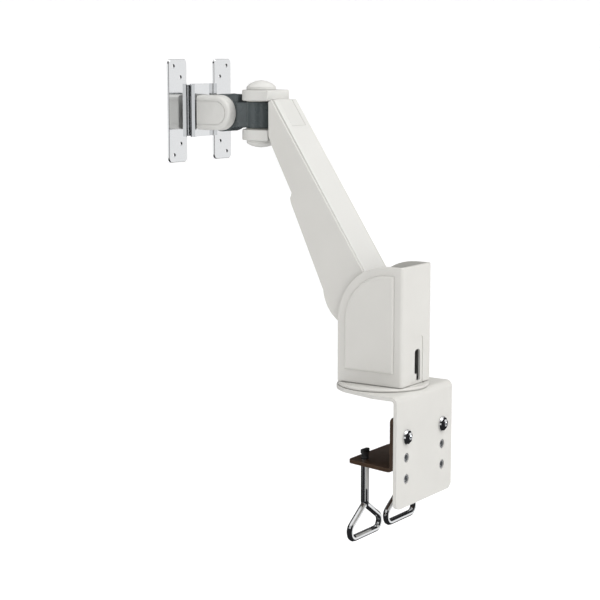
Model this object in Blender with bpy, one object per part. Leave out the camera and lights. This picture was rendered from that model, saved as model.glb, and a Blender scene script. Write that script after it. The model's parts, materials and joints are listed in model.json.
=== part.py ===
"""Monitor arm: desk clamp, swivelling column, spring-lifted arm, level head, tilting VESA plate.

Metres, +Z up. The origin is the middle of the face that rests on the desk, on the column's swivel
axis. The screen side faces -Y, so the arm reaches forward and up from the column.
"""

from math import asin, atan2, cos, degrees, pi, radians, sin, sqrt

import bmesh
import bpy
from mathutils import Matrix, Vector

GAP = 0.0003  # between touching pieces
OVER = 0.001  # how far a cutter runs past what it cuts

# Desk clamp
DESK_PAD_THICK = 0.0010
PLATE_BOTTOM = DESK_PAD_THICK + GAP
PLATE_THICK = 0.0040
PLATE_TOP = PLATE_BOTTOM + PLATE_THICK
NOSE_RADIUS = 0.0515
NOSE_TAPER = radians(16.5)
CLAMP_HALF = 0.0605
BACK_OUTER = 0.0524
BACK_INNER = BACK_OUTER - PLATE_THICK
BACK_BOTTOM = -0.1167
BACK_HOLE_X = 0.0389
BACK_HOLE_Z = (-0.0402, -0.0629, -0.0861)
BACK_HOLE_RADIUS = 0.0052
BACK_CORNER = 0.0100
DESK_PAD_INSET = 0.0090

# Lower jaw and its screws
JAW_THICK = 0.0040
JAW_LEG_OUTER = 0.0458
JAW_LEG_TOP = -0.0180
JAW_TOP = -0.0730
JAW_HALF = 0.0565
JAW_FRONT = -0.0180
JAW_FRONT_HALF = 0.0440
JAW_TAPER_END = 0.0380
JAW_CORNER = 0.0060
JAW_HOLE_RADIUS = 0.0034
JAW_SCREW_SHANK = 0.0030
INSERT_BORE = 0.0032
SCREW_X = 0.0380
SCREW_RADIUS = 0.0044
SCREW_SHOULDER = -0.0712
SCREW_NECK = 0.0024
SCREW_TIP = -0.0650
FOOT_BOTTOM = -0.0703
FOOT_STEM = 0.0040
FOOT_BAR_BOTTOM = -0.0642
FOOT_TOP = -0.0602
FOOT_BAR = (0.0063, 0.0024)
SCREW_ROD_END = -0.1230
LOOP_BOTTOM = -0.1548
LOOP_HALF = 0.0495
LOOP_WIRE = 0.0036

# Base and column
TURNTABLE_RADIUS = 0.0500
TURNTABLE_BOTTOM = PLATE_TOP + GAP
TURNTABLE_TOP = 0.0090
SPINDLE_RADIUS = 0.0070
HOUSING_BOTTOM = 0.0096
HOUSING_HALF = 0.0315
HOUSING_REAR = 0.0410
HOUSING_WALL = 0.0030
FRONT_WALL_TOP = 0.0695
CHEEK_CENTRE = (0.0220, 0.0770)
CHEEK_RADIUS = 0.0622
COVER_RADIUS = 0.0526
COVER_THICK = 0.0024
COVER_EDGE = (0.0028, 0.0019)
COVER_BOTTOM = 0.0240
COVER_REAR = 0.0310
HOUSING_SCREW = (0.0220, 0.0450)
SLOT_WIDE = (-0.0095, 0.0025)
SLOT_LOW = (-0.0095, -0.0017)
SLOT_SHOULDER = 0.0205
SLOT_TOP = 0.0475
POST_INNER = 0.0080
POST_OUTER = 0.0130
POST_REAR = 0.0300
POST_BASE_BOTTOM = TURNTABLE_TOP + GAP
POST_BASE_THICK = 0.0040
POST_SCREW_X = 0.0185

# Arm
ARM_RISE = radians(56.6)
ARM_PIVOT = (-0.0190, 0.1115)
ARM_EDGE = 0.0166
ARM_HALF = 0.0250
ARM_WALL = 0.0022
HEEL_RADIUS = 0.0446
HEEL_END = radians(250)
BELLY_THICK = 0.0022
ARM_TOP_END = 0.2305
ARM_END_Y = -0.1360
ARM_STEP = (-0.1053, 0.2117)
ARM_BELLY = (-0.1062, 0.2006)
LID_SPAN = (0.0080, 0.2299)
LID_SHELF = 0.0144
LID_CROWN = (0.0172, 0.0184)
LID_EDGE = 0.0010
LID_SLOT_RADIUS = 0.0140
LID_SLOT_HALF = 0.0134
FRAME_INNER = 0.0195
FRAME_OUTER = 0.0220
PIN_RADIUS = 0.0030
LINK_DROP = (-0.0050, -0.0170)
LINK_INNER = 0.0145
LINK_OUTER = 0.0185
LINK_HALF = 0.0048
LINK_TIE = 0.88
SPRING_CRANK = 0.0190
SPRING_CRANK_ANGLE = radians(215)
SPRING_CASE = 0.0950
SPRING_ROD = 0.0040
SPRING_ROD_TOP = 0.0600
SPRING_EYE = 0.0047
SPRING_EYE_OUTER = 0.0072

# Head
HEAD_PIVOT_ALONG = 0.2043
HEAD_PIVOT_ABOVE = 0.0075
HUB_Y = -0.1627
HUB_Z = 0.2955
HUB_RADIUS = 0.0180
HUB_HALF = 0.0148
HUB_SIDE = 0.0012
HEAD_HALF = 0.0130
HEAD_BOLT = 0.0050
LUG_RADIUS = 0.0215
LUG_BACK = -0.1390
LUG_THICK = 0.0120
LUG_EDGE = 0.0012
CAP_RADIUS = 0.0166
CAP_RISE = (0.0108, 0.0086)
CAP_BORE = 0.0098
DOME = ((0.42, 0.0125), (0.80, 0.0070), (1.0, 0))
TILT_Y = -0.2084
TILT_Z = 0.2973
BARREL_RADIUS = 0.0212
BARREL_HALF = 0.0128
NECK_END = -0.1866
NECK_TOP = 0.3181
NECK_HALF = 0.0150
TILT_BOLT = 0.0040
EAR_RADIUS = 0.0192
EAR_FLAT_Y = -0.2350
EAR_OUTER = 0.0250
EAR_ROUND = 0.0036
EAR_DRAFT = 0.0008
EAR_GROOVE = 0.0056

# VESA plate
VESA_Y = -0.2480
VESA_Z = 0.2995
VESA_THICK = 0.0025
VESA_BAR_INNER = 0.0260
VESA_BAR_OUTER = 0.0590
VESA_HALF = 0.0580
VESA_PITCHES = (0.0375, 0.0500)
BRACKET_HALF = 0.0225
BRACKET_TALL = 0.0300
BRACKET_REAR = -0.2393
BRACKET_SCREW_Z = 0.0095
BRACKET_BEND = 0.0036


def arm_point(along, above):
    """A point of the arm as (y, z): along runs up the arm, above is square to its top edge."""
    y, z = ARM_PIVOT
    return (
        y - along * cos(ARM_RISE) + above * sin(ARM_RISE),
        z + along * sin(ARM_RISE) + above * cos(ARM_RISE),
    )


HEAD_PIVOT = arm_point(HEAD_PIVOT_ALONG, HEAD_PIVOT_ABOVE)
LINK_LOW = (ARM_PIVOT[0] + LINK_DROP[0], ARM_PIVOT[1] + LINK_DROP[1])
LINK_HIGH = (HEAD_PIVOT[0] + LINK_DROP[0], HEAD_PIVOT[1] + LINK_DROP[1])
SPRING_HIGH = arm_point(0.158, 0.003)
SPRING_LOW = (
    ARM_PIVOT[0] + SPRING_CRANK * cos(SPRING_CRANK_ANGLE),
    ARM_PIVOT[1] + SPRING_CRANK * sin(SPRING_CRANK_ANGLE),
)

BODIES = {
    "clamp": (0, 0, 0),
    "screw_left": (-SCREW_X, 0, 0),
    "screw_right": (SCREW_X, 0, 0),
    "foot_left": (-SCREW_X, 0, 0),
    "foot_right": (SCREW_X, 0, 0),
    "column": (0, 0, 0),
    "arm": (0, *ARM_PIVOT),
    "lower_link": (0, *LINK_LOW),
    "spring_cylinder": (0, *SPRING_HIGH),
    "spring_rod": (0, *SPRING_LOW),
    "head_block": (0, *HEAD_PIVOT),
    "knuckle": (0, HUB_Y, HUB_Z),
    "tilt_head": (0, TILT_Y, TILT_Z),
}

# Colour, roughness, metallic
MATERIALS = {
    "white_powder_coat": ((0.72, 0.72, 0.69), 0.55, 0.0),
    "white_casting": ((0.70, 0.70, 0.68), 0.50, 0.0),
    "white_plastic": ((0.68, 0.68, 0.66), 0.45, 0.0),
    "brown_paint": ((0.030, 0.018, 0.010), 0.45, 0.0),
    "chrome": ((0.75, 0.76, 0.77), 0.12, 1.0),
    "zinc_steel": ((0.42, 0.43, 0.44), 0.38, 1.0),
    "dark_casting": ((0.075, 0.090, 0.092), 0.38, 0.3),
    "black_enamel": ((0.020, 0.020, 0.022), 0.35, 0.0),
    "black_rubber": ((0.015, 0.015, 0.015), 0.80, 0.0),
    "nylon": ((0.60, 0.59, 0.55), 0.50, 0.0),
}


def clear_scene():
    for obj in list(bpy.data.objects):
        bpy.data.objects.remove(obj, do_unlink=True)


def make_material(name):
    colour, roughness, metallic = MATERIALS[name]
    material = bpy.data.materials.new(name)
    material.use_nodes = True
    shader = material.node_tree.nodes["Principled BSDF"]
    shader.inputs["Base Color"].default_value = (*colour, 1.0)
    shader.inputs["Roughness"].default_value = roughness
    shader.inputs["Metallic"].default_value = metallic
    material.diffuse_color = (*colour, 1.0)
    return material


# ---------------------------------------------------------------- outlines


def arc(centre, radius, start, end, steps):
    """Points from start to end, in degrees, both included."""
    angles = [radians(start + (end - start) * i / steps) for i in range(steps + 1)]
    return [(centre[0] + radius * cos(a), centre[1] + radius * sin(a)) for a in angles]


def rounded(points, radius, steps=4):
    """The closed outline with its corners rounded; radius may be a list with one for each corner."""
    count = len(points)
    radii = radius if isinstance(radius, (list, tuple)) else [radius] * count
    outline = []
    for i, corner in enumerate(points):
        here = Vector(corner)
        before = (Vector(points[i - 1]) - here).normalized()
        after = (Vector(points[(i + 1) % count]) - here).normalized()
        half = before.angle(after) / 2
        if radii[i] <= 0 or half > radians(88):
            outline.append(tuple(here))
            continue
        reach = radii[i] / (sin(half) / cos(half))
        middle = here + (before + after).normalized() * (radii[i] / sin(half))
        first = here + before * reach - middle
        last = here + after * reach - middle
        start = atan2(first.y, first.x)
        sweep = (atan2(last.y, last.x) - start + pi) % (2 * pi) - pi
        for k in range(steps + 1):
            a = start + sweep * k / steps
            outline.append((middle.x + radii[i] * cos(a), middle.y + radii[i] * sin(a)))
    return outline


def belt(first, first_radius, last, last_radius, steps=10):
    """The outline of two discs and the straight sides between them."""
    gap = Vector(last) - Vector(first)
    lean = degrees(atan2(gap.y, gap.x))
    open_by = degrees(pi / 2 - atan2(first_radius - last_radius, gap.length))
    return arc(last, last_radius, lean - open_by, lean + open_by, steps) + arc(
        first, first_radius, lean + open_by, lean + 360 - open_by, steps
    )


# ---------------------------------------------------------------- solids


def place(axis, flat, along):
    """A point whose outline coordinates lie square to the axis."""
    if axis == "X":
        return (along, flat[0], flat[1])
    if axis == "Y":
        return (flat[0], along, flat[1])
    return (flat[0], flat[1], along)


def mesh_object(name, build, smooth=30):
    mesh = bpy.data.meshes.new(name)
    shape = bmesh.new()
    build(shape)
    bmesh.ops.recalc_face_normals(shape, faces=shape.faces)
    shape.to_mesh(mesh)
    shape.free()
    mesh.shade_smooth()
    mesh.set_sharp_from_angle(angle=radians(smooth))
    obj = bpy.data.objects.new(name, mesh)
    bpy.context.scene.collection.objects.link(obj)
    return obj


def prism(name, outline, axis, low, high):
    def build(shape):
        bottom = [shape.verts.new(place(axis, p, low)) for p in outline]
        top = [shape.verts.new(place(axis, p, high)) for p in outline]
        shape.faces.new(bottom[::-1])
        shape.faces.new(top)
        for i in range(len(outline)):
            j = (i + 1) % len(outline)
            shape.faces.new((bottom[i], bottom[j], top[j], top[i]))

    return mesh_object(name, build)


def layered(name, axis, layers):
    """A solid through outlines with the same number of points, each at its place on the axis."""

    def build(shape):
        rings = []
        for along, outline in layers:
            rings.append([shape.verts.new(place(axis, p, along)) for p in outline])
        shape.faces.new(rings[0][::-1])
        shape.faces.new(rings[-1])
        for ring, after in zip(rings, rings[1:]):
            for i in range(len(ring)):
                j = (i + 1) % len(ring)
                shape.faces.new((ring[i], ring[j], after[j], after[i]))

    return mesh_object(name, build)


def round_off(steps=4):
    """The steps of a quarter round, as the shares of its inset and of its height."""
    angles = [pi / 2 * i / steps for i in range(steps + 1)]
    return [(1 - cos(a), sin(a)) for a in angles]


def turned(name, centre, axis, profile, segments=24):
    """A turned piece: profile is (along the axis, radius) from one end on the axis to the other."""

    def build(shape):
        rings = []
        for along, radius in profile:
            if radius == 0:
                rings.append([shape.verts.new(place(axis, centre, along))])
                continue
            ring = arc(centre, radius, 0, 360 - 360 / segments, segments - 1)
            rings.append([shape.verts.new(place(axis, p, along)) for p in ring])
        for ring, after in zip(rings, rings[1:]):
            for i in range(segments):
                j = (i + 1) % segments
                corners = [ring[i % len(ring)], ring[j % len(ring)]]
                corners += [after[j % len(after)], after[i % len(after)]]
                shape.faces.new(list(dict.fromkeys(corners)))

    return mesh_object(name, build)


def rod(name, centre, axis, low, high, radius, segments=20):
    profile = [(low, 0), (low, radius), (high, radius), (high, 0)]
    return turned(name, centre, axis, profile, segments)


def hexagon(centre, across_flats, turn=0):
    return arc(centre, across_flats / sqrt(3), turn, turn + 300, 5)


def boolean(obj, cutter, operation):
    cutter.hide_render = True
    cutter.display_type = "WIRE"
    modifier = obj.modifiers.new(f"{operation.lower()}_{cutter.name}", "BOOLEAN")
    modifier.operation = operation
    modifier.solver = "EXACT"
    modifier.object = cutter
    return obj


def cut(obj, *cutters):
    for cutter in cutters:
        boolean(obj, cutter, "DIFFERENCE")
    return obj


def join(obj, *others):
    for other in others:
        boolean(obj, other, "UNION")
    return obj


def bore(obj, centre, axis, low, high, radius, segments=20):
    name = f"{obj.name}_bore_{len(obj.modifiers)}"
    return cut(obj, rod(name, centre, axis, low, high, radius, segments))


def soften(obj, width, segments=2, angle=40):
    modifier = obj.modifiers.new("edges", "BEVEL")
    modifier.width = width
    modifier.segments = segments
    modifier.limit_method = "ANGLE"
    modifier.angle_limit = radians(angle)
    return obj


def finish(obj, body, material):
    """Gives the piece its material and hangs it, with its cutters, on its body's empty."""
    obj.data.materials.append(material)
    origin = Vector(BODIES[body])
    pieces = [obj]
    for piece in pieces:
        if piece.parent:
            continue
        pieces += [m.object for m in piece.modifiers if m.type == "BOOLEAN"]
        piece.data.transform(Matrix.Translation(-origin))
        piece.parent = bpy.data.objects[f"body_{body}"]
    return obj


def make_bodies():
    for body, origin in BODIES.items():
        empty = bpy.data.objects.new(f"body_{body}", None)
        empty.empty_display_size = 0.02
        empty.location = origin
        bpy.context.scene.collection.objects.link(empty)


def mirrored(x):
    """The word for a side, as seen from behind the column with the screen ahead."""
    return "left" if x < 0 else "right"


# ---------------------------------------------------------------- desk clamp


def clamp_plan(grow=0.0):
    """The top plate's outline from above: a round nose that widens to the back plate."""
    radius = NOSE_RADIUS - grow
    half = CLAMP_HALF - grow
    touch = (radius * cos(NOSE_TAPER), -radius * sin(NOSE_TAPER))
    widest = touch[1] + (half - touch[0]) / (sin(NOSE_TAPER) / cos(NOSE_TAPER))
    nose = arc((0, 0), radius, 180 + degrees(NOSE_TAPER), 360 - degrees(NOSE_TAPER), 28)
    rear = BACK_OUTER + 0.01 if grow == 0 else BACK_INNER - 0.004
    return nose + [(half, widest), (half, rear), (-half, rear), (-half, widest)]


def make_clamp(materials):
    outer = 0.0070
    inner = outer - PLATE_THICK
    bend = (BACK_OUTER - outer, PLATE_TOP - outer)
    profile = [(-0.060, PLATE_BOTTOM), *arc(bend, inner, 90, 0, 5)]
    profile += [(BACK_INNER, BACK_BOTTOM), (BACK_OUTER, BACK_BOTTOM)]
    profile += [*arc(bend, outer, 0, 90, 8), (-0.060, PLATE_TOP)]
    bracket = prism("clamp_bracket", profile, "X", -CLAMP_HALF - 0.004, CLAMP_HALF + 0.004)
    plan = prism("clamp_plan", clamp_plan(), "Z", BACK_BOTTOM - OVER, PLATE_TOP + OVER)
    boolean(bracket, plan, "INTERSECT")
    front = rounded(
        [
            (-CLAMP_HALF - OVER, BACK_BOTTOM),
            (CLAMP_HALF + OVER, BACK_BOTTOM),
            (CLAMP_HALF + OVER, PLATE_TOP + OVER),
            (-CLAMP_HALF - OVER, PLATE_TOP + OVER),
        ],
        [BACK_CORNER, BACK_CORNER, 0, 0],
        6,
    )
    boolean(bracket, prism("clamp_front", front, "Y", -0.070, 0.070), "INTERSECT")
    for x in (-BACK_HOLE_X, BACK_HOLE_X):
        for z in BACK_HOLE_Z:
            bore(bracket, (x, z), "Y", BACK_INNER - OVER, BACK_OUTER + OVER, BACK_HOLE_RADIUS, 20)
    bore(bracket, (0, 0), "Z", PLATE_BOTTOM - OVER, PLATE_TOP + OVER, SPINDLE_RADIUS + GAP, 24)
    bore(bracket, (0, 0), "Z", PLATE_BOTTOM - OVER, PLATE_BOTTOM + 0.0018, 0.0133, 24)
    finish(bracket, "clamp", materials["white_powder_coat"])

    pad = prism("desk_pad", clamp_plan(DESK_PAD_INSET), "Z", 0, DESK_PAD_THICK)
    finish(pad, "clamp", materials["black_rubber"])

    spindle = turned(
        "swivel_spindle",
        (0, 0),
        "Z",
        [
            (PLATE_BOTTOM, 0),
            (PLATE_BOTTOM, 0.0130),
            (PLATE_BOTTOM + 0.0015, 0.0130),
            (PLATE_BOTTOM + 0.0015, SPINDLE_RADIUS),
            (0.0215, SPINDLE_RADIUS),
            (0.0225, SPINDLE_RADIUS - 0.001),
            (0.0225, 0),
        ],
    )
    finish(spindle, "clamp", materials["zinc_steel"])


def make_jaw(materials):
    inner_leg = JAW_LEG_OUTER - JAW_THICK
    bottom = JAW_TOP - JAW_THICK
    profile = rounded(
        [
            (JAW_FRONT, bottom),
            (JAW_LEG_OUTER, bottom),
            (JAW_LEG_OUTER, JAW_LEG_TOP),
            (inner_leg, JAW_LEG_TOP),
            (inner_leg, JAW_TOP),
            (JAW_FRONT, JAW_TOP),
        ],
        [0, JAW_CORNER, 0.0012, 0.0012, 0.0020, 0],
    )
    jaw = prism("lower_jaw", profile, "X", -JAW_HALF, JAW_HALF)
    plan = rounded(
        [
            (-JAW_FRONT_HALF, JAW_FRONT),
            (JAW_FRONT_HALF, JAW_FRONT),
            (JAW_HALF, JAW_TAPER_END),
            (JAW_HALF, 0.060),
            (-JAW_HALF, 0.060),
            (-JAW_HALF, JAW_TAPER_END),
        ],
        [JAW_CORNER, JAW_CORNER, 0, 0, 0, 0],
    )
    boolean(jaw, prism("jaw_plan", plan, "Z", bottom - OVER, JAW_LEG_TOP + OVER), "INTERSECT")
    front = rounded(
        [
            (-JAW_HALF - OVER, bottom - OVER),
            (JAW_HALF + OVER, bottom - OVER),
            (JAW_HALF + OVER, JAW_LEG_TOP),
            (-JAW_HALF - OVER, JAW_LEG_TOP),
        ],
        [0, 0, 0.007, 0.007],
    )
    boolean(jaw, prism("jaw_front", front, "Y", -0.060, 0.060), "INTERSECT")
    for x in (-SCREW_X, SCREW_X):
        bore(jaw, (x, 0), "Z", bottom - OVER, JAW_TOP + OVER, SCREW_RADIUS + GAP)
    for x in (-BACK_HOLE_X, BACK_HOLE_X):
        for z in BACK_HOLE_Z[:2]:
            bore(jaw, (x, z), "Y", inner_leg - OVER, JAW_LEG_OUTER + OVER, JAW_HOLE_RADIUS, 20)
    finish(jaw, "clamp", materials["brown_paint"])


def make_jaw_fasteners(x, materials):
    """One dome-head screw through the back plate and the jaw, with its washer and nut."""
    side = mirrored(x)
    centre = (x, BACK_HOLE_Z[0])
    shank = JAW_SCREW_SHANK
    face = BACK_OUTER + GAP
    nut_far = JAW_LEG_OUTER - JAW_THICK - GAP
    screw = turned(
        f"jaw_screw_{side}",
        centre,
        "Y",
        [
            (face + 0.0050, 0),
            (face + 0.0048, 0.0026),
            (face + 0.0040, 0.0052),
            (face + 0.0026, 0.0072),
            (face + 0.0010, 0.0083),
            (face, 0.0085),
            (face, shank),
            (nut_far - 0.0070, shank),
            (nut_far - 0.0070, 0),
        ],
        24,
    )
    socket = prism(f"jaw_socket_{side}", hexagon(centre, 0.0040), "Y", face + 0.0026, face + 0.006)
    finish(cut(screw, socket), "clamp", materials["chrome"])

    washer = rod(f"jaw_washer_{side}", centre, "Y", JAW_LEG_OUTER + GAP, BACK_INNER - GAP, 0.0065)
    bore(washer, centre, "Y", JAW_LEG_OUTER, BACK_INNER, shank + GAP)
    finish(washer, "clamp", materials["zinc_steel"])

    nut = prism(f"jaw_nut_{side}", hexagon(centre, 0.0100), "Y", nut_far - 0.0050, nut_far)
    bore(nut, centre, "Y", nut_far - 0.0060, nut_far + OVER, shank + GAP)
    finish(nut, "clamp", materials["zinc_steel"])


def make_inserts(x, materials):
    """The threaded inserts in the back plate's lower holes, for the jaw's other heights."""
    outer = BACK_HOLE_RADIUS - GAP
    flush = BACK_OUTER - 0.0006
    for word, z in zip(("middle", "lowest"), BACK_HOLE_Z[1:]):
        insert = turned(
            f"plate_insert_{word}_{mirrored(x)}",
            (x, z),
            "Y",
            [(BACK_INNER, 0), (BACK_INNER, outer), (flush, outer), (flush, 0)],
            24,
        )
        bore(insert, (x, z), "Y", BACK_INNER + 0.0008, BACK_OUTER + OVER, INSERT_BORE, 20)
        finish(insert, "clamp", materials["zinc_steel"])


def loop_path():
    """The handle's wire, in the plane of the screw's axis: down one side, across and up the other."""
    top = SCREW_ROD_END
    corners = [(0, top + 0.002), (LOOP_HALF, LOOP_BOTTOM), (-LOOP_HALF, LOOP_BOTTOM)]
    return rounded(corners, [0.0045, 0.0085, 0.0085], 9)


def make_loop(name, x):
    """A closed ring of wire swept along the loop's path."""
    sides = 10
    path = loop_path()

    def build(shape):
        rings = []
        for i, point in enumerate(path):
            here = Vector(point)
            ahead = (Vector(path[(i + 1) % len(path)]) - here).normalized()
            behind = (here - Vector(path[i - 1])).normalized()
            across = (ahead + behind).normalized().orthogonal()
            ring = []
            for k in range(sides):
                a = 2 * pi * k / sides
                flat = here + across * LOOP_WIRE * cos(a)
                ring.append(shape.verts.new((x + flat.x, LOOP_WIRE * sin(a), flat.y)))
            rings.append(ring)
        for i, ring in enumerate(rings):
            after = rings[(i + 1) % len(rings)]
            for k in range(sides):
                j = (k + 1) % sides
                shape.faces.new((ring[k], ring[j], after[j], after[k]))

    return mesh_object(name, build)


def make_clamp_screw(x, materials):
    side = mirrored(x)
    centre = (x, 0)
    screw = turned(
        f"clamp_screw_{side}",
        centre,
        "Z",
        [
            (SCREW_ROD_END - 0.0010, 0),
            (SCREW_ROD_END - 0.0010, SCREW_RADIUS - 0.0006),
            (SCREW_ROD_END + 0.0050, SCREW_RADIUS),
            (SCREW_SHOULDER, SCREW_RADIUS),
            (SCREW_SHOULDER + 0.0005, SCREW_NECK),
            (SCREW_TIP, SCREW_NECK),
            (SCREW_TIP, 0),
        ],
        24,
    )
    join(screw, make_loop(f"clamp_loop_{side}", x))
    finish(screw, f"screw_{side}", materials["chrome"])

    half_long, half_wide = FOOT_BAR
    bar = [(x - half_long, -half_wide), (x + half_long, -half_wide)]
    bar += [(x + half_long, half_wide), (x - half_long, half_wide)]
    foot = prism(f"clamp_foot_{side}", rounded(bar, 0.0012, 3), "Z", FOOT_BAR_BOTTOM, FOOT_TOP)
    stem_top = FOOT_BAR_BOTTOM + OVER
    join(foot, rod(f"foot_stem_{side}", centre, "Z", FOOT_BOTTOM, stem_top, FOOT_STEM, 24))
    bore(foot, centre, "Z", FOOT_BOTTOM - OVER, SCREW_TIP + GAP, SCREW_NECK + GAP)
    finish(foot, f"foot_{side}", materials["black_rubber"])


# ---------------------------------------------------------------- column


def make_turntable(materials):
    rim = TURNTABLE_RADIUS
    profile = [
        (TURNTABLE_BOTTOM, 0),
        (TURNTABLE_BOTTOM, rim - 0.0010),
        (TURNTABLE_BOTTOM + 0.0006, rim - 0.0002),
        (TURNTABLE_BOTTOM + 0.0018, rim),
        (TURNTABLE_TOP - 0.0006, rim - 0.0006),
        (TURNTABLE_TOP, rim - 0.0018),
        (TURNTABLE_TOP, rim - 0.0054),
        (TURNTABLE_TOP - 0.0006, rim - 0.0060),
        (TURNTABLE_TOP - 0.0006, rim - 0.0072),
        (TURNTABLE_TOP, rim - 0.0078),
        (TURNTABLE_TOP, 0),
    ]
    disc = turned("turntable", (0, 0), "Z", profile, 56)
    bore(disc, (0, 0), "Z", TURNTABLE_BOTTOM - OVER, TURNTABLE_TOP + OVER, SPINDLE_RADIUS + GAP, 24)
    for x in (-POST_SCREW_X, POST_SCREW_X):
        bore(disc, (x, 0), "Z", TURNTABLE_BOTTOM + 0.0005, TURNTABLE_TOP + OVER, 0.0023, 16)
    finish(disc, "column", materials["white_powder_coat"])

    flange = POST_BASE_BOTTOM + POST_BASE_THICK + GAP
    nut = prism("swivel_nut", hexagon((0, 0), 0.0190), "Z", flange + 0.0012, flange + 0.0072)
    join(nut, rod("swivel_flange", (0, 0), "Z", flange, flange + 0.0018, 0.0115, 24))
    bore(nut, (0, 0), "Z", flange - OVER, flange + 0.0090, SPINDLE_RADIUS + GAP, 24)
    finish(nut, "clamp", materials["zinc_steel"])


def make_post(materials):
    base_top = POST_BASE_BOTTOM + POST_BASE_THICK
    plate = rounded([(-0.024, -0.030), (0.024, -0.030), (0.024, 0.034), (-0.024, 0.034)], 0.003, 2)
    post = prism("column_post", plate, "Z", POST_BASE_BOTTOM, base_top)
    a, b, d = Vector(ARM_PIVOT), Vector(LINK_LOW), Vector(SPRING_LOW)
    flange = [
        (0.0140, base_top - OVER),
        (POST_REAR, base_top - OVER),
        (POST_REAR, 0.1130),
        (0.0000, 0.1200),
        (a.x, a.y + 0.0090),
        *arc(a, 0.0090, 95, 150, 4),
        *arc(d, 0.0070, 120, 260, 7),
        *arc(b, 0.0070, 240, 275, 2),
        (0.0140, 0.0850),
    ]
    web = [(POST_REAR - 0.0040, base_top - OVER), (POST_REAR, base_top - OVER)]
    web += [(POST_REAR, 0.1130), (POST_REAR - 0.0040, 0.1140)]
    for side, (low, high) in enumerate(((-POST_OUTER, -POST_INNER), (POST_INNER, POST_OUTER))):
        join(post, prism(f"post_flange_{side}", flange, "X", low, high))
    join(post, prism("post_web", web, "X", -POST_INNER - OVER, POST_INNER + OVER))
    join(post, rod("post_tube", HOUSING_SCREW, "X", -0.0282, 0.0282, 0.0055, 20))
    for pivot in (a, b, d):
        bore(post, pivot, "X", -0.020, 0.020, PIN_RADIUS + GAP)
    for low, high in ((-0.0292, -0.0205), (0.0205, 0.0292)):
        bore(post, HOUSING_SCREW, "X", low, high, 0.0020, 16)
    bore(post, (0, 0), "Z", POST_BASE_BOTTOM - OVER, base_top + OVER, SPINDLE_RADIUS + GAP, 24)
    for x in (-POST_SCREW_X, POST_SCREW_X):
        bore(post, (x, 0), "Z", POST_BASE_BOTTOM - OVER, base_top + OVER, 0.0023, 16)
    finish(post, "column", materials["zinc_steel"])

    head = base_top + GAP
    profile = [(TURNTABLE_BOTTOM + 0.0009, 0), (TURNTABLE_BOTTOM + 0.0009, 0.0020)]
    profile += [(head, 0.0020), (head, 0.0038), (head + 0.0018, 0.0034), (head + 0.0024, 0)]
    for x in (-POST_SCREW_X, POST_SCREW_X):
        screw = turned(f"post_screw_{mirrored(x)}", (x, 0), "Z", profile, 16)
        finish(screw, "column", materials["zinc_steel"])


def cheek_outline(radius, bottom, rear):
    """A side of the column seen from +X: square at the back, a quarter round at the upper front."""
    y, z = CHEEK_CENTRE
    steps = 18
    upper = arc((y, z), radius, 90, 180, steps)
    return [(rear, bottom), (rear, z + radius), *upper, (y - radius, bottom)]


def side_cover_outline(inset):
    return cheek_outline(COVER_RADIUS - inset, COVER_BOTTOM + inset, COVER_REAR - inset)


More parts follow.
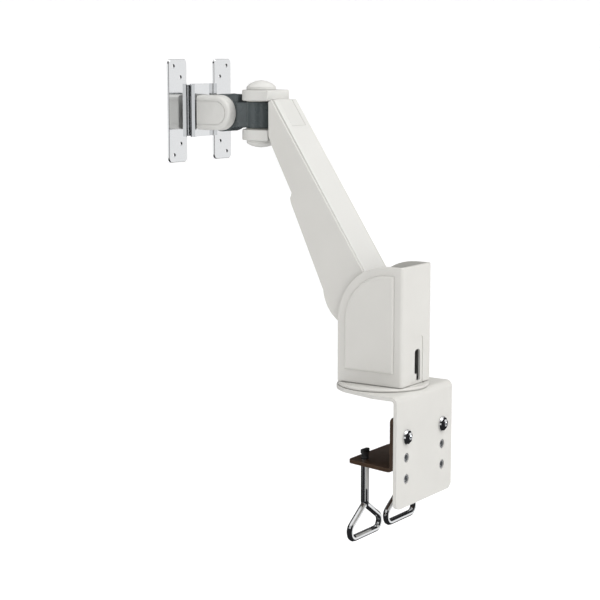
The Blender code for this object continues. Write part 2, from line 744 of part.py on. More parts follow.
def make_housing(materials):
    inner = HOUSING_HALF - HOUSING_WALL
    front = CHEEK_CENTRE[0] - CHEEK_RADIUS
    top = CHEEK_CENTRE[1] + CHEEK_RADIUS
    side = cheek_outline(CHEEK_RADIUS, HOUSING_BOTTOM, HOUSING_REAR + OVER)
    housing = prism("column_housing", side, "X", -HOUSING_HALF - OVER, HOUSING_HALF + OVER)
    plan = [(-HOUSING_HALF, front - OVER), (HOUSING_HALF, front - OVER)]
    plan += [(HOUSING_HALF, HOUSING_REAR), (-HOUSING_HALF, HOUSING_REAR)]
    outside = prism("housing_plan", rounded(plan, [0, 0, 0.0035, 0.0035], 5), "Z", 0, top + OVER)
    boolean(housing, outside, "INTERSECT")
    soften(housing, 0.0008, 2, 50)
    well = [(-inner, front + HOUSING_WALL), (inner, front + HOUSING_WALL)]
    well += [(inner, HOUSING_REAR - HOUSING_WALL), (-inner, HOUSING_REAR - HOUSING_WALL)]
    hollow = prism("housing_hollow", rounded(well, 0.0015, 2), "Z", 0, top + OVER)
    mouth = [(front - OVER, FRONT_WALL_TOP), (front + HOUSING_WALL + OVER, FRONT_WALL_TOP)]
    mouth += [(front + HOUSING_WALL + OVER, top), (front - OVER, top)]
    cut(housing, hollow, prism("housing_mouth", mouth, "X", -inner, inner))
    recess = rounded(
        [(-0.0140, 0), (0.0110, 0), (0.0110, 0.0615), (-0.0140, 0.0615)], [0, 0, 0.004, 0.004], 4
    )
    skin = HOUSING_REAR - 0.0007
    cut(housing, prism("slot_recess", recess, "Y", skin, HOUSING_REAR + OVER))
    slot = [(SLOT_LOW[0], 0.0125), (SLOT_LOW[1], 0.0125), (SLOT_LOW[1], SLOT_SHOULDER)]
    slot += [(SLOT_WIDE[1], SLOT_SHOULDER), (SLOT_WIDE[1], SLOT_TOP), (SLOT_WIDE[0], SLOT_TOP)]
    slot_cutter = prism(
        "slot_cutter",
        rounded(slot, [0.0012, 0.0012, 0, 0.001, 0.0045, 0.0045], 4),
        "Y",
        HOUSING_REAR - HOUSING_WALL - OVER,
        HOUSING_REAR + OVER,
    )
    cut(housing, slot_cutter)
    for sign in (-1, 1):
        ends = sorted((sign * (inner - OVER), sign * (HOUSING_HALF + OVER)))
        bore(housing, HOUSING_SCREW, "X", *ends, 0.0023, 16)
        ends = sorted((sign * (HOUSING_HALF - 0.0016), sign * (HOUSING_HALF + OVER)))
        bore(housing, HOUSING_SCREW, "X", *ends, 0.0046, 20)
    finish(housing, "column", materials["white_powder_coat"])

    for sign in (-1, 1):
        side_word = mirrored(sign)
        layers = [(sign * (HOUSING_HALF + GAP), side_cover_outline(0))]
        for inset, height in round_off():
            along = HOUSING_HALF + COVER_THICK - COVER_EDGE[1] * (1 - height)
            layers.append((sign * along, side_cover_outline(inset * COVER_EDGE[0])))
        cover = layered(f"side_cover_{side_word}", "X", layers)
        finish(cover, "column", materials["white_powder_coat"])
        head = HOUSING_HALF - 0.0013
        profile = [(0.0215, 0), (0.0215, 0.0017), (head, 0.0017), (head, 0.0040)]
        profile += [(HOUSING_HALF - GAP, 0.0040), (HOUSING_HALF - GAP, 0)]
        if sign < 0:
            profile = [(-along, radius) for along, radius in reversed(profile)]
        screw = turned(f"housing_screw_{side_word}", HOUSING_SCREW, "X", profile, 16)
        finish(screw, "column", materials["zinc_steel"])


def pin(name, centre, half, body, material):
    finish(rod(name, centre, "X", -half, half, PIN_RADIUS), body, material)


def make_column_pins(materials):
    pin("arm_pivot_pin", ARM_PIVOT, 0.0224, "column", materials["zinc_steel"])
    pin("link_pin_lower", LINK_LOW, 0.0190, "column", materials["zinc_steel"])
    pin("spring_pin_lower", SPRING_LOW, 0.0134, "column", materials["zinc_steel"])
    for sign in (-1, 1):
        ends = sorted((sign * (POST_OUTER + GAP), sign * (FRAME_INNER - GAP)))
        bush = rod(f"pivot_bush_{mirrored(sign)}", ARM_PIVOT, "X", *ends, 0.0055)
        bore(bush, ARM_PIVOT, "X", -0.0300, 0.0300, PIN_RADIUS + GAP)
        finish(bush, "column", materials["nylon"])


# ---------------------------------------------------------------- arm


def make_shell(materials):
    """The arm's painted shell: two walls with a belly plate round the heel."""
    y, z = ARM_PIVOT
    hub = 0.0240
    rear_along = -sqrt(hub**2 - ARM_EDGE**2)
    rear = arm_point(rear_along, ARM_EDGE)
    start = degrees(atan2(rear[1] - z, rear[0] - y))
    top_end = arm_point(ARM_TOP_END, ARM_EDGE)
    heel_start = 185.7
    heel = arc((y, z), HEEL_RADIUS, heel_start, degrees(HEEL_END), 14)
    outline = [
        top_end,
        (ARM_END_Y, top_end[1] - 0.0022),
        (ARM_END_Y, 0.2734),
        (-0.1320, 0.2630),
        ARM_STEP,
        (ARM_STEP[0] - 0.0020, ARM_STEP[1] - 0.0062),
        ARM_BELLY,
        *heel,
        *arc((y, z), hub, -75, start, 8),
    ]
    shell = prism("arm_shell", outline, "X", -ARM_HALF, ARM_HALF)
    down = (Vector(heel[0]) - Vector(ARM_BELLY)).normalized()
    belly = Vector(ARM_BELLY) + Vector((-down.y, down.x)) * BELLY_THICK
    inside = [
        (-0.1600, belly.y + 0.0030),
        (belly.x - 0.0010, belly.y + 0.0030),
        tuple(belly),
        *arc((y, z), HEEL_RADIUS - BELLY_THICK, heel_start, degrees(HEEL_END) + 14, 14),
        (0.0400, 0.0400),
        (0.0400, 0.3400),
        (-0.1600, 0.3400),
    ]
    inner = ARM_HALF - ARM_WALL
    cut(shell, prism("shell_hollow", inside, "X", -inner, inner))
    finish(soften(shell, 0.0007, 2, 50), "arm", materials["white_powder_coat"])

    low, high = LID_SPAN
    lid_half = inner - GAP
    shelf = [arm_point(low, LID_SHELF), arm_point(high, LID_SHELF)]
    shelf += [arm_point(high, ARM_EDGE - 0.0006), arm_point(low, ARM_EDGE - 0.0006)]
    lid = prism("arm_top_cover", shelf, "X", -lid_half, lid_half)
    crown = [arm_point(low, LID_SHELF + 0.0005), arm_point(high, LID_SHELF + 0.0005)]
    crown += [arm_point(high, LID_CROWN[1]), arm_point(low, LID_CROWN[0])]
    raised = prism("lid_crown", crown, "X", 0.0006 - lid_half, lid_half - 0.0006)
    join(lid, soften(raised, LID_EDGE, 2, 50))
    front = arm_point(high + 0.0100, LID_SHELF - 0.0100)
    slot = [*lid_slot_arc(LID_SLOT_RADIUS), arm_point(high + 0.0100, LID_CROWN[1] + 0.0100), front]
    cut(lid, prism("lid_slot", slot, "X", -LID_SLOT_HALF, LID_SLOT_HALF))
    finish(lid, "arm", materials["white_plastic"])


def lid_slot_arc(radius):
    """An arc about the head pivot that climbs through the lid behind it."""
    turn = degrees(-ARM_RISE)
    return arc(HEAD_PIVOT, radius, turn + 20, turn + 82, 10)


def make_frame(materials):
    """The steel channel inside the arm that carries its pins."""
    low, high = 0.025, 0.180
    plate = belt(ARM_PIVOT, 0.0100, HEAD_PIVOT, 0.0062)
    web_top = 0.0135
    strip = [arm_point(low, 0.004), arm_point(high, 0.004)]
    strip += [arm_point(high, web_top), arm_point(low, web_top)]
    web = [arm_point(low, web_top - 0.0020), arm_point(high, web_top - 0.0020)]
    web += [arm_point(high, web_top), arm_point(low, web_top)]
    frame = prism("arm_frame", web, "X", -FRAME_OUTER, FRAME_OUTER)
    for sign in (-1, 1):
        ends = sorted((sign * FRAME_INNER, sign * FRAME_OUTER))
        side = mirrored(sign)
        join(frame, prism(f"frame_plate_{side}", plate, "X", *ends))
        join(frame, prism(f"frame_strip_{side}", strip, "X", *ends))
        join(frame, rod(f"frame_boss_{side}", SPRING_HIGH, "X", *ends, 0.0068))
    for pivot in (ARM_PIVOT, HEAD_PIVOT, SPRING_HIGH):
        bore(frame, pivot, "X", -0.0300, 0.0300, PIN_RADIUS + GAP)
    finish(frame, "arm", materials["zinc_steel"])
    pin("spring_pin_upper", SPRING_HIGH, 0.0224, "arm", materials["zinc_steel"])


def make_lower_link(materials):
    outline = belt(LINK_LOW, LINK_HALF, LINK_HIGH, LINK_HALF, 8)
    link = prism("lower_link", outline, "X", LINK_INNER, LINK_OUTER)
    join(link, prism("link_bar", outline, "X", -LINK_OUTER, -LINK_INNER))
    tie = Vector(LINK_LOW).lerp(Vector(LINK_HIGH), LINK_TIE)
    join(link, rod("link_tie", tie, "X", -LINK_INNER - OVER, LINK_INNER + OVER, 0.0030, 16))
    for pivot in (LINK_LOW, LINK_HIGH):
        bore(link, pivot, "X", -0.0300, 0.0300, PIN_RADIUS + GAP)
    finish(link, "lower_link", materials["zinc_steel"])


def make_spring(materials):
    """A gas spring along +Z, laid from its upper eye towards its lower one."""
    high, low = Vector(SPRING_HIGH), Vector(SPRING_LOW)
    reach = (low - high).length
    lean = Matrix.Rotation(atan2(low.y - high.y, low.x - high.x) + pi / 2, 4, "X")

    def lay(obj):
        obj.data.transform(Matrix.Translation((0, *SPRING_HIGH)) @ lean)
        for modifier in obj.modifiers:
            modifier.object.data.transform(Matrix.Translation((0, *SPRING_HIGH)) @ lean)
        return obj

    wide = 0.0090
    cylinder = turned(
        "spring_cylinder",
        (0, 0),
        "Z",
        [
            (-SPRING_CASE - 0.0015, 0),
            (-SPRING_CASE - 0.0015, wide - 0.0020),
            (-SPRING_CASE, wide),
            (-0.0137, wide),
            (-0.0125, wide - 0.0012),
            (-0.0110, 0.0045),
            (-0.0020, 0.0045),
            (-0.0020, 0),
        ],
        28,
    )
    join(cylinder, rod("spring_eye_upper", (0, 0), "X", -0.0060, 0.0060, 0.0065))
    bore(cylinder, (0, 0), "X", -0.0100, 0.0100, PIN_RADIUS + GAP)
    bore(cylinder, (0, 0), "Z", -SPRING_CASE - 0.0030, -0.0280, SPRING_ROD + 0.0005)
    finish(lay(cylinder), "spring_cylinder", materials["black_enamel"])

    eye = (0, -reach)
    rod_piece = rod("spring_rod", (0, 0), "Z", -reach + 0.0050, -SPRING_ROD_TOP, SPRING_ROD)
    join(rod_piece, rod("spring_eye_lower", eye, "X", -0.0065, 0.0065, SPRING_EYE_OUTER))
    bore(rod_piece, eye, "X", -0.0100, 0.0100, SPRING_EYE)
    finish(lay(rod_piece), "spring_rod", materials["chrome"])


# ---------------------------------------------------------------- head


def make_head(materials):
    lug_plan = arc((0, HUB_Y), LUG_RADIUS, 180, 360, 16)
    lug_plan += [(LUG_RADIUS, LUG_BACK), (-LUG_RADIUS, LUG_BACK)]
    upper_low = HUB_Z + HUB_HALF + HUB_SIDE
    lower_high = HUB_Z - HUB_HALF - HUB_SIDE
    upper_high = upper_low + LUG_THICK
    lower_low = lower_high - LUG_THICK
    block = soften(prism("head_block", lug_plan, "Z", upper_low, upper_high), LUG_EDGE, 2, 50)
    lug = prism("head_lug_lower", lug_plan, "Z", lower_low, lower_high)
    join(block, soften(lug, LUG_EDGE, 2, 50))
    end = LUG_BACK - 0.0025
    nose = ARM_END_Y
    a, b = Vector(HEAD_PIVOT), Vector(LINK_HIGH)
    web_top = upper_low + 0.0020
    crown = LID_CROWN[1] - GAP
    round_radius = LID_SLOT_RADIUS - 0.0005
    round_end = degrees(asin((crown - HEAD_PIVOT_ABOVE) / round_radius) - ARM_RISE)
    tongue = [
        *arc(a, round_radius, -30, round_end, 5),
        arm_point(LID_SPAN[1] - GAP, crown),
        (nose, web_top),
        (end, web_top),
        (end, lower_low + 0.0010),
        (nose, lower_low + 0.0010),
        *arc(b, 0.0070, 230, 330, 5),
    ]
    web = [(nose, lower_low), (nose, web_top), (end, web_top), (end, lower_low)]
    join(block, prism("head_tongue", tongue, "X", -HEAD_HALF, HEAD_HALF))
    join(block, prism("head_web", web, "X", -HEAD_HALF, HEAD_HALF))
    for pivot in (a, b):
        bore(block, pivot, "X", -0.0200, 0.0200, PIN_RADIUS + GAP)
    bore(block, (0, HUB_Y), "Z", lower_low - OVER, upper_high + OVER, HEAD_BOLT + GAP)
    finish(block, "head_block", materials["white_casting"])

    pin("head_pivot_pin", HEAD_PIVOT, 0.0224, "head_block", materials["zinc_steel"])
    pin("link_pin_upper", LINK_HIGH, 0.0190, "head_block", materials["zinc_steel"])
    for sign in (-1, 1):
        ends = sorted((sign * (HEAD_HALF + GAP), sign * (FRAME_INNER - GAP)))
        bush = rod(f"head_bush_{mirrored(sign)}", HEAD_PIVOT, "X", *ends, 0.0050)
        bore(bush, HEAD_PIVOT, "X", -0.0300, 0.0300, PIN_RADIUS + GAP)
        finish(bush, "head_block", materials["nylon"])

    centre = (0, HUB_Y)
    for word, low, high in (
        ("upper", HUB_Z + HUB_HALF + GAP, upper_low - GAP),
        ("lower", lower_high + GAP, HUB_Z - HUB_HALF - GAP),
    ):
        washer = rod(f"hub_washer_{word}", centre, "Z", low, high, HUB_RADIUS - 0.0010, 28)
        bore(washer, centre, "Z", low - OVER, high + OVER, HEAD_BOLT + GAP)
        finish(washer, "head_block", materials["nylon"])

    bolt = turned(
        "head_bolt",
        centre,
        "Z",
        [
            (lower_low - 0.0050, 0),
            (lower_low - 0.0050, 0.0085),
            (lower_low - GAP, 0.0085),
            (lower_low - GAP, HEAD_BOLT),
            (upper_high + 0.0056, HEAD_BOLT),
            (upper_high + 0.0056, 0),
        ],
        20,
    )
    finish(bolt, "head_block", materials["zinc_steel"])
    nut_low = upper_high + GAP
    nut = prism("head_nut", hexagon(centre, 0.0150), "Z", nut_low, nut_low + 0.0048)
    bore(nut, centre, "Z", nut_low - OVER, nut_low + 0.0060, HEAD_BOLT + GAP)
    finish(nut, "head_block", materials["zinc_steel"])

    rim = CAP_RADIUS
    for word, face, way, rise, depth in (
        ("upper", upper_high, 1, CAP_RISE[0], 0.0064),
        ("lower", lower_low, -1, CAP_RISE[1], 0.0056),
    ):
        dome = [(GAP, 0), (GAP, rim), (0.0034, rim), (0.0044, rim - 0.0010)]
        dome += [(0.0044 + (rise - 0.0044) * share, radius) for share, radius in DOME]
        profile = [(face + way * along, radius) for along, radius in dome[::way]]
        cap = turned(f"dome_cap_{word}", centre, "Z", profile, 36)
        ends = sorted((face - way * OVER, face + way * depth))
        bore(cap, centre, "Z", *ends, CAP_BORE, 24)
        finish(cap, "head_block", materials["white_plastic"])


def make_knuckle(materials):
    low, high = HUB_Z - HUB_HALF, HUB_Z + HUB_HALF
    edge = 0.0012
    hub = turned(
        "knuckle",
        (0, HUB_Y),
        "Z",
        [
            (low, 0),
            (low, HUB_RADIUS - edge),
            (low + edge, HUB_RADIUS),
            (high - edge, HUB_RADIUS),
            (high, HUB_RADIUS - edge),
            (high, 0),
        ],
        36,
    )
    barrel = [(-BARREL_HALF, 0), (-BARREL_HALF, BARREL_RADIUS - edge)]
    barrel += [(edge - BARREL_HALF, BARREL_RADIUS)]
    barrel += [(-along, radius) for along, radius in reversed(barrel)]
    join(hub, turned("knuckle_barrel", (TILT_Y, TILT_Z), "X", barrel, 40))
    taper = (BARREL_HALF - 0.0004, NECK_END - 0.0020)
    neck = [(NECK_HALF, HUB_Y), (-NECK_HALF, HUB_Y), (-NECK_HALF, NECK_END)]
    neck += [(-taper[0], taper[1]), taper, (NECK_HALF, NECK_END)]
    neck_piece = prism("knuckle_neck", neck, "Z", low + 0.0008, high - 0.0008)
    join(hub, soften(neck_piece, 0.0010, 2, 50))
    saddle = [(TILT_Y, TILT_Z - 0.0190), (TILT_Y, NECK_TOP), (NECK_END + 0.0005, NECK_TOP)]
    saddle += [(NECK_END + 0.0005, TILT_Z - 0.0160)]
    saddle_piece = prism("knuckle_saddle", saddle, "X", 0.0008 - BARREL_HALF, BARREL_HALF - 0.0008)
    join(hub, soften(saddle_piece, 0.0010, 2, 50))
    bore(hub, (0, HUB_Y), "Z", low - OVER, high + OVER, HEAD_BOLT + GAP)
    bore(hub, (TILT_Y, TILT_Z), "X", -0.0200, 0.0200, TILT_BOLT + GAP)
    finish(hub, "knuckle", materials["dark_casting"])


def ear_outline(inset, end):
    """The tilt covers' outline: round over the tilt axis, with a flat end towards the plate."""
    radius = EAR_RADIUS - inset
    centre = (TILT_Y, TILT_Z)
    return arc(centre, radius, -90, 90, 18) + [(end, TILT_Z + radius), (end, TILT_Z - radius)]


def make_tilt_head(materials):
    sheet = 0.0028
    face = VESA_Y + GAP
    centre_z = VESA_Z
    screw_heights = (centre_z - BRACKET_SCREW_Z, centre_z + BRACKET_SCREW_Z)
    half, inner = BRACKET_HALF, BRACKET_HALF - sheet
    plan = [(half, face), (half, BRACKET_REAR), (inner, BRACKET_REAR), (inner, face + sheet)]
    plan += [(-x, y) for x, y in reversed(plan)]
    bend = BRACKET_BEND
    radii = [bend, 0, 0, bend - sheet, bend - sheet, 0, 0, bend]
    ends = (centre_z - BRACKET_TALL, centre_z + BRACKET_TALL)
    bracket = prism("tilt_bracket", rounded(plan, radii, 6), "Z", *ends)
    ear_in = BARREL_HALF + GAP
    for sign in (-1, 1):
        ends = sorted((sign * ear_in, sign * (ear_in + sheet)))
        ear = arc((TILT_Y, TILT_Z), 0.0135, -90, 90, 12)
        ear += [(face + OVER, TILT_Z + 0.0135), (face + OVER, TILT_Z - 0.0135)]
        join(bracket, prism(f"bracket_ear_{mirrored(sign)}", ear, "X", *ends))
    bore(bracket, (TILT_Y, TILT_Z), "X", -0.0300, 0.0300, TILT_BOLT + GAP)
    for z in screw_heights:
        bore(bracket, (0, z), "Y", face - OVER, face + sheet + OVER, 0.0023, 16)
    finish(bracket, "tilt_head", materials["chrome"])

    plate_rear, plate_front = VESA_Y, VESA_Y - VESA_THICK
    tall = 0.0290
    web = [(-0.030, centre_z - tall), (0.030, centre_z - tall)]
    web += [(-x, 2 * centre_z - z) for x, z in web]
    plate = prism("vesa_plate", web, "Y", plate_front, plate_rear)
    for sign in (-1, 1):
        low = centre_z - VESA_HALF
        bar = [(sign * VESA_BAR_INNER, low), (sign * VESA_BAR_OUTER, low)]
        bar += [(x, 2 * centre_z - z) for x, z in reversed(bar)]
        outline = rounded(bar, 0.0050, 5)
        join(plate, prism(f"vesa_bar_{mirrored(sign)}", outline, "Y", plate_front, plate_rear))
    soften(plate, 0.0004, 1, 60)
    for sign in (-1, 1):
        for pitch in VESA_PITCHES:
            for up in (-1, 1):
                hole = (sign * pitch, centre_z + up * pitch)
                bore(plate, hole, "Y", plate_front - OVER, plate_rear + OVER, 0.0024, 16)
    for z in screw_heights:
        bore(plate, (0, z), "Y", plate_front - OVER, plate_rear + OVER, 0.0023, 16)
    finish(plate, "tilt_head", materials["chrome"])

    head = face + sheet + GAP
    profile = [(plate_front + GAP, 0), (plate_front + GAP, 0.0020), (head, 0.0020)]
    profile += [(head, 0.0036), (head + 0.0012, 0.0032), (head + 0.0020, 0.0018), (head + 0.0022, 0)]
    for word, z in zip(("lower", "upper"), screw_heights):
        screw = turned(f"bracket_screw_{word}", (0, z), "Y", profile, 16)
        finish(screw, "tilt_head", materials["zinc_steel"])

    for sign in (-1, 1):
        word = mirrored(sign)
        near, far = BARREL_HALF + 0.0005, EAR_OUTER
        layers = [(sign * near, ear_outline(-EAR_DRAFT, EAR_FLAT_Y))]
        for inset, height in round_off(5):
            along = far - EAR_ROUND * (1 - height)
            layers.append((sign * along, ear_outline(inset * EAR_ROUND, EAR_FLAT_Y)))
        cover = layered(f"tilt_cover_{word}", "X", layers)
        ends = sorted((sign * (near - OVER), sign * (far - 0.0030)))
        inside = ear_outline(0.0030, EAR_FLAT_Y + 0.0030)
        cut(cover, prism(f"cover_hollow_{word}", inside, "X", *ends))
        ends = sorted((sign * (near - OVER), sign * (ear_in + sheet + GAP)))
        mouth = [(EAR_FLAT_Y - OVER, TILT_Z - 0.0140), (EAR_FLAT_Y + 0.0040, TILT_Z - 0.0140)]
        mouth += [(y, 2 * TILT_Z - z) for y, z in reversed(mouth)]
        cut(cover, prism(f"cover_mouth_{word}", mouth, "X", *ends))
        ends = sorted((sign * (far - 0.0006), sign * (far + OVER)))
        ring = ear_outline(EAR_GROOVE, EAR_FLAT_Y - OVER)
        groove = prism(f"cover_groove_{word}", ring, "X", *ends)
        ends = sorted((sign * (far - 2 * OVER), sign * (far + 2 * OVER)))
        ring = ear_outline(EAR_GROOVE + 0.0008, EAR_FLAT_Y - 2 * OVER)
        cut(groove, prism(f"cover_land_{word}", ring, "X", *ends))
        cut(cover, groove)
        finish(cover, "tilt_head", materials["white_plastic"])

    centre = (TILT_Y, TILT_Z)
    outer = ear_in + sheet + GAP
    bolt = turned(
        "tilt_bolt",
        centre,
        "X",
        [
            (-outer - 0.0046, 0),
            (-outer - 0.0046, TILT_BOLT),
            (outer, TILT_BOLT),
            (outer, 0.0075),
            (outer + 0.0040, 0.0075),
            (outer + 0.0040, 0),
        ],
        20,
    )
    finish(bolt, "tilt_head", materials["zinc_steel"])
    nut = prism("tilt_nut", hexagon(centre, 0.0130), "X", -outer - 0.0044, -outer)
    bore(nut, centre, "X", -outer - 0.0060, -outer + OVER, TILT_BOLT + GAP)
    finish(nut, "tilt_head", materials["zinc_steel"])


def main():
    clear_scene()
    materials = {name: make_material(name) for name in MATERIALS}
    make_bodies()
    make_clamp(materials)
    make_jaw(materials)
    for x in (-BACK_HOLE_X, BACK_HOLE_X):
        make_jaw_fasteners(x, materials)
        make_inserts(x, materials)
    for x in (-SCREW_X, SCREW_X):
        make_clamp_screw(x, materials)
    make_turntable(materials)
    make_post(materials)
    make_housing(materials)
    make_column_pins(materials)
    make_shell(materials)
    make_frame(materials)
    make_lower_link(materials)
    make_spring(materials)
    make_head(materials)
    make_knuckle(materials)
    make_tilt_head(materials)


main()
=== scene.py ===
import json
from math import cos, pi, radians, sin

import bmesh
import bpy
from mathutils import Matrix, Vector

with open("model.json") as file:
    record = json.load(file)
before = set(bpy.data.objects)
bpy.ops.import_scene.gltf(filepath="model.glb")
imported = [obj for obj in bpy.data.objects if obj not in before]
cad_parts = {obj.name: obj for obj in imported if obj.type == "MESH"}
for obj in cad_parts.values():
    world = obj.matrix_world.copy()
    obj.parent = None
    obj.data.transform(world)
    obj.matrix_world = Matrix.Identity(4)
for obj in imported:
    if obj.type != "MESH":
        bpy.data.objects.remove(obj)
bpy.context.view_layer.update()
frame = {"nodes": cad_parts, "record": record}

# Patterns, in waves to the metre
COLOUR_PATCHES = 22.0
GLOSS_PATCHES = 60.0
# Patches that break up the painted highlight along sharp edges
EDGE_HIGHLIGHT_PATCHES = 140.0
METAL_STREAKS = 90.0
FINGERMARKS = 35.0
DUST_PATCHES = 70.0
RUBBER_GRAIN = 1500.0

# How far a finish strays from its own tone
GLOSS_LOW, GLOSS_HIGH = 0.05, 0.06
# The next four lines shape a painted highlight: a lighter colour laid along sharp edges
EDGE_HIGHLIGHT_LEAST = 0.25
EDGE_HIGHLIGHT_WIDTH = 0.0012
EDGE_HIGHLIGHT_SAMPLES = 6
EDGE_HIGHLIGHT_FOLD, EDGE_HIGHLIGHT_FLAT = 0.88, 0.995
FINGERMARK_START, FINGERMARK_END = 0.45, 0.75
DUST_TONE = 0.05
DUST_MOST = 0.6
DUST_START, DUST_END = 0.5, 0.8
DUST_GLOSS = (0.62, 0.85)
RUBBER_DEPTH = 0.00004
RUBBER_ROUGHNESS = 0.7
COAT_ROUGHNESS = 0.2

# The floor and the backdrop round it: distance from the middle and height over the floor
FLOOR_HEIGHT = -0.60
FLOOR_OUTLINE = ((3.0, 0.0), (3.9, 0.12), (4.6, 0.55), (4.9, 1.3), (5.0, 2.6), (5.0, 5.0))
FLOOR_SIDES = 64
FLOOR_TONE = 0.80
FLOOR_ROUGHNESS = 0.9
FLOOR_GLOW = 0.31

# Where the room is bright: a direction, then the cosines at which the light starts and is full
ROOM_LIGHTS = (
    ((0.0, 0.0, 1.0), 0.50, 0.80),
    ((-0.83, 0.55, -0.05), 0.925, 0.965),
    ((0.83, -0.55, -0.05), 0.950, 0.985),
    ((0.822, 0.549, -0.148), 0.972, 0.988),
)
ROOM_DARK = (0.022, 0.022, 0.024)
ROOM_BRIGHT = (0.95, 0.95, 0.95)

# Each lamp's name, place, width and height, and watts
LAMPS = (
    ("key", (0.0, 1.5, 1.9), (1.4, 1.4), 30),
    ("side", (2.4, -0.6, 0.9), (0.3, 1.6), 2),
)
LAMP_AIM = (0.0, -0.08, 0.12)

CAMERA_PLACE = (1.530, 0.912, 0.364)
CAMERA_TURN = radians(56.25)
CAMERA_TIP = radians(8.5)
CAMERA_LENS = 99.06
CAMERA_SENSOR = 36

# ---------------------------------------------------------------- materials


class Graph:
    """A material's node tree with short calls for adding and linking nodes."""

    def __init__(self, name):
        self.material = bpy.data.materials.new(name)
        self.material.use_nodes = True
        self.nodes = self.material.node_tree.nodes
        self.links = self.material.node_tree.links
        self.shader = self.nodes["Principled BSDF"]
        self.place = self.add("ShaderNodeTexCoord").outputs["Object"]

    def add(self, kind, **settings):
        node = self.nodes.new(kind)
        for key, value in settings.items():
            setattr(node, key, value)
        return node

    def link(self, source, target):
        self.links.new(source, target)

    def noise(self, scale, detail=2.0, rough=0.5, stretch=None):
        node = self.add("ShaderNodeTexNoise")
        node.inputs["Scale"].default_value = scale
        node.inputs["Detail"].default_value = detail
        node.inputs["Roughness"].default_value = rough
        source = self.place
        if stretch:
            mapping = self.add("ShaderNodeMapping")
            mapping.inputs["Scale"].default_value = stretch
            self.link(source, mapping.inputs["Vector"])
            source = mapping.outputs["Vector"]
        self.link(source, node.inputs["Vector"])
        return node.outputs["Fac"]

    def spread(self, source, low, high, start=0.3, end=0.7):
        node = self.add("ShaderNodeMapRange")
        for key, value in (("From Min", start), ("From Max", end), ("To Min", low), ("To Max", high)):
            node.inputs[key].default_value = value
        self.link(source, node.inputs["Value"])
        return node.outputs["Result"]

    def blend(self, factor, first, second):
        node = self.add("ShaderNodeMix", data_type="RGBA")
        self.link(factor, node.inputs["Factor"])
        for socket, colour in ((node.inputs["A"], first), (node.inputs["B"], second)):
            if isinstance(colour, tuple):
                socket.default_value = (*colour, 1.0)
            else:
                self.link(colour, socket)
        return node.outputs["Result"]

    def bump(self, height, depth):
        node = self.add("ShaderNodeBump")
        node.inputs["Distance"].default_value = depth
        node.inputs["Strength"].default_value = 1.0
        self.link(height, node.inputs["Height"])
        return node.outputs["Normal"]

    def edge(self, radius):
        """1 along the sharp edges of a piece and 0 on its faces."""
        round_off = self.add("ShaderNodeBevel", samples=EDGE_HIGHLIGHT_SAMPLES)
        round_off.inputs["Radius"].default_value = radius
        facing = self.add("ShaderNodeNewGeometry").outputs["Normal"]
        dot = self.add("ShaderNodeVectorMath", operation="DOT_PRODUCT")
        self.link(round_off.outputs["Normal"], dot.inputs[0])
        self.link(facing, dot.inputs[1])
        return self.spread(dot.outputs["Value"], 1.0, 0.0, EDGE_HIGHLIGHT_FOLD, EDGE_HIGHLIGHT_FLAT)


def finish_material(graph, base, roughness, metallic=0.0, coat=0.0):
    """Sets what is the same all over the surface."""
    shader = graph.shader
    shader.inputs["Roughness"].default_value = roughness
    shader.inputs["Metallic"].default_value = metallic
    shader.inputs["Coat Weight"].default_value = coat
    shader.inputs["Coat Roughness"].default_value = COAT_ROUGHNESS
    graph.material.diffuse_color = (*base, 1.0)
    return graph.material


def painted(name, base, roughness, grain, depth, tint=0.03, coat=0.0, edge_highlight=None):
    """Paint, powder coat or moulded plastic: a fine surface grain over a faintly uneven colour, with,
    where asked, a painted highlight: a lighter colour along the sharp edges.
    """
    graph = Graph(name)
    light = tuple(c * (1 + tint) for c in base)
    dark = tuple(c * (1 - tint) for c in base)
    colour = graph.blend(graph.spread(graph.noise(COLOUR_PATCHES, 4.0), 0.0, 1.0), dark, light)
    # Painted highlight: a lighter colour laid along the sharp edges, in patches
    if edge_highlight:
        edges = graph.add("ShaderNodeMath", operation="MULTIPLY")
        graph.link(graph.edge(EDGE_HIGHLIGHT_WIDTH), edges.inputs[0])
        graph.link(graph.spread(graph.noise(EDGE_HIGHLIGHT_PATCHES, 4.0), EDGE_HIGHLIGHT_LEAST, 1.0), edges.inputs[1])
        colour = graph.blend(edges.outputs["Value"], colour, edge_highlight)
    graph.link(colour, graph.shader.inputs["Base Color"])
    patches = graph.noise(GLOSS_PATCHES, 3.0)
    gloss = graph.spread(patches, roughness - GLOSS_LOW, roughness + GLOSS_HIGH)
    graph.link(gloss, graph.shader.inputs["Roughness"])
    graph.link(graph.bump(graph.noise(grain, 2.0, 0.6), depth), graph.shader.inputs["Normal"])
    return finish_material(graph, base, roughness, 0.0, coat)


def metal(name, base, roughness, streak, depth, smudge=0.04, tint=0.03):
    """Plated or machined metal: streaks left by polishing, and a film of fingermarks."""
    graph = Graph(name)
    dark = tuple(c * (1 - tint) for c in base)
    streaks = graph.noise(METAL_STREAKS, 3.0, 0.6, streak)
    colour = graph.blend(graph.spread(streaks, 0.0, 1.0), dark, base)
    graph.link(colour, graph.shader.inputs["Base Color"])
    film = graph.noise(FINGERMARKS, 5.0, 0.7)
    marks = graph.spread(film, roughness, roughness + smudge, FINGERMARK_START, FINGERMARK_END)
    graph.link(marks, graph.shader.inputs["Roughness"])
    graph.link(graph.bump(streaks, depth), graph.shader.inputs["Normal"])
    return finish_material(graph, base, roughness, 1.0)


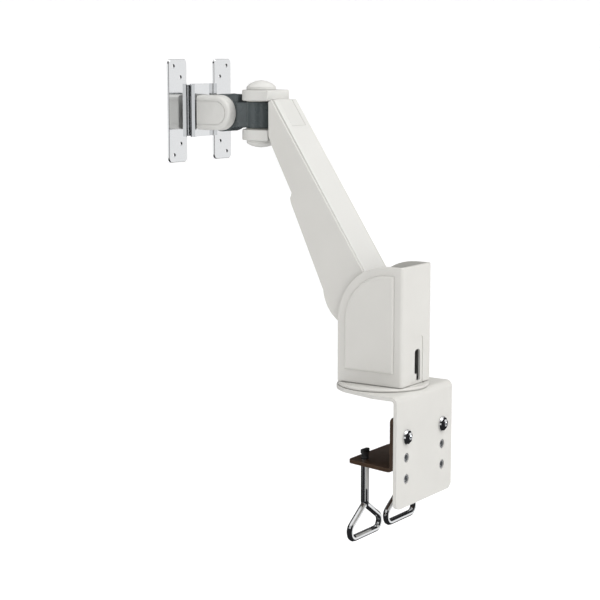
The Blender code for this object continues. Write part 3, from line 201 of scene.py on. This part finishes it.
def rubber(name, base):
    """Black rubber, dusty in patches."""
    graph = Graph(name)
    dust = tuple(c + DUST_TONE for c in base)
    patches = graph.spread(graph.noise(DUST_PATCHES, 6.0, 0.7), 0.0, DUST_MOST, DUST_START, DUST_END)
    graph.link(graph.blend(patches, base, dust), graph.shader.inputs["Base Color"])
    graph.link(graph.spread(patches, *DUST_GLOSS, 0.0, 1.0), graph.shader.inputs["Roughness"])
    graph.link(graph.bump(graph.noise(RUBBER_GRAIN, 3.0), RUBBER_DEPTH), graph.shader.inputs["Normal"])
    return finish_material(graph, base, RUBBER_ROUGHNESS)


MATERIALS = {
    "white_powder_coat": painted(
        "white_powder_coat", (0.60, 0.59, 0.56), 0.46, 1100.0, 0.00005, 0.018, 0.10
    ),
    "white_casting": painted("white_casting", (0.62, 0.615, 0.59), 0.36, 700.0, 0.00003, 0.015, 0.2),
    "white_plastic": painted("white_plastic", (0.63, 0.625, 0.60), 0.40, 1600.0, 0.00003, 0.012),
    # The last colour here is a painted highlight along the bracket's sharp edges
    "brown_paint": painted(
        "brown_paint", (0.052, 0.024, 0.009), 0.50, 900.0, 0.00004, 0.12, 0.0, (0.13, 0.085, 0.05)
    ),
    "chrome": metal("chrome", (0.80, 0.81, 0.82), 0.07, (1.0, 1.0, 14.0), 0.000004),
    "zinc_steel": metal("zinc_steel", (0.56, 0.57, 0.58), 0.36, (22.0, 1.0, 1.0), 0.00002, 0.12, 0.12),
    "dark_casting": painted("dark_casting", (0.066, 0.080, 0.083), 0.28, 800.0, 0.00004, 0.08, 0.15),
    "black_enamel": painted("black_enamel", (0.018, 0.018, 0.020), 0.24, 500.0, 0.00001, 0.1, 0.4),
    "black_rubber": rubber("black_rubber", (0.017, 0.016, 0.016)),
    "nylon": painted("nylon", (0.60, 0.59, 0.54), 0.48, 900.0, 0.00003, 0.03),
}

for part in frame["record"]["subparts"]:
    node = frame["nodes"][part["node"]]
    for slot in node.material_slots:
        slot.material = MATERIALS[part["material_slot"]]

# ---------------------------------------------------------------- stage, lights and camera


def make_floor():
    """A pale floor that curves up into a backdrop all round."""
    mesh = bpy.data.meshes.new("floor")
    shape = bmesh.new()
    rings = [[shape.verts.new((0, 0, FLOOR_HEIGHT))] * FLOOR_SIDES]
    angles = [2 * pi * i / FLOOR_SIDES for i in range(FLOOR_SIDES)]
    for radius, height in FLOOR_OUTLINE:
        level = FLOOR_HEIGHT + height
        rings.append([shape.verts.new((radius * cos(a), radius * sin(a), level)) for a in angles])
    for ring, after in zip(rings, rings[1:]):
        for i in range(FLOOR_SIDES):
            j = (i + 1) % FLOOR_SIDES
            corners = list(dict.fromkeys((ring[i], ring[j], after[j], after[i])))
            shape.faces.new(corners)
    bmesh.ops.recalc_face_normals(shape, faces=shape.faces)
    shape.to_mesh(mesh)
    shape.free()
    mesh.shade_smooth()
    floor = bpy.data.objects.new("floor", mesh)
    bpy.context.scene.collection.objects.link(floor)
    paper = bpy.data.materials.new("floor_paper")
    paper.use_nodes = True
    shader = paper.node_tree.nodes["Principled BSDF"]
    shader.inputs["Base Color"].default_value = (FLOOR_TONE, FLOOR_TONE, FLOOR_TONE, 1)
    shader.inputs["Roughness"].default_value = FLOOR_ROUGHNESS
    shader.inputs["Emission Color"].default_value = (1.0, 1.0, 1.0, 1)
    shader.inputs["Emission Strength"].default_value = FLOOR_GLOW
    mesh.materials.append(paper)
    floor.visible_glossy = False


def make_world():
    """What polished metal shows: a dark room with a bright ceiling and three lit panels."""
    world = bpy.data.worlds.new("studio")
    world.use_nodes = True
    nodes, links = world.node_tree.nodes, world.node_tree.links
    ray = nodes.new("ShaderNodeTexCoord").outputs["Generated"]
    total = None
    for aim, start, end in ROOM_LIGHTS:
        dot = nodes.new("ShaderNodeVectorMath")
        dot.operation = "DOT_PRODUCT"
        links.new(ray, dot.inputs[0])
        dot.inputs[1].default_value = aim
        glow = nodes.new("ShaderNodeMapRange")
        glow.inputs["From Min"].default_value = start
        glow.inputs["From Max"].default_value = end
        links.new(dot.outputs["Value"], glow.inputs["Value"])
        if total is None:
            total = glow.outputs["Result"]
            continue
        larger = nodes.new("ShaderNodeMath")
        larger.operation = "MAXIMUM"
        links.new(total, larger.inputs[0])
        links.new(glow.outputs["Result"], larger.inputs[1])
        total = larger.outputs["Value"]
    tone = nodes.new("ShaderNodeMix")
    tone.data_type = "RGBA"
    tone.inputs["A"].default_value = (*ROOM_DARK, 1)
    tone.inputs["B"].default_value = (*ROOM_BRIGHT, 1)
    links.new(total, tone.inputs["Factor"])
    links.new(tone.outputs["Result"], nodes["Background"].inputs["Color"])
    bpy.context.scene.world = world


def add_lamp(name, place, size, watts):
    data = bpy.data.lights.new(name, "AREA")
    data.shape = "RECTANGLE"
    data.size, data.size_y = size
    data.energy = watts
    lamp = bpy.data.objects.new(name, data)
    lamp.location = place
    lamp.rotation_euler = (Vector(LAMP_AIM) - Vector(place)).to_track_quat("-Z", "Y").to_euler()
    bpy.context.scene.collection.objects.link(lamp)


def make_camera():
    level = cos(CAMERA_TIP)
    ahead = Vector((-sin(CAMERA_TURN) * level, -cos(CAMERA_TURN) * level, -sin(CAMERA_TIP)))
    data = bpy.data.cameras.new("camera")
    data.sensor_width = CAMERA_SENSOR
    data.lens = CAMERA_LENS
    camera = bpy.data.objects.new("camera", data)
    camera.location = CAMERA_PLACE
    camera.rotation_euler = ahead.to_track_quat("-Z", "Y").to_euler()
    bpy.context.scene.collection.objects.link(camera)
    bpy.context.scene.camera = camera


make_floor()
make_world()
for lamp in LAMPS:
    add_lamp(*lamp)
make_camera()
bpy.context.scene.view_settings.view_transform = "Standard"
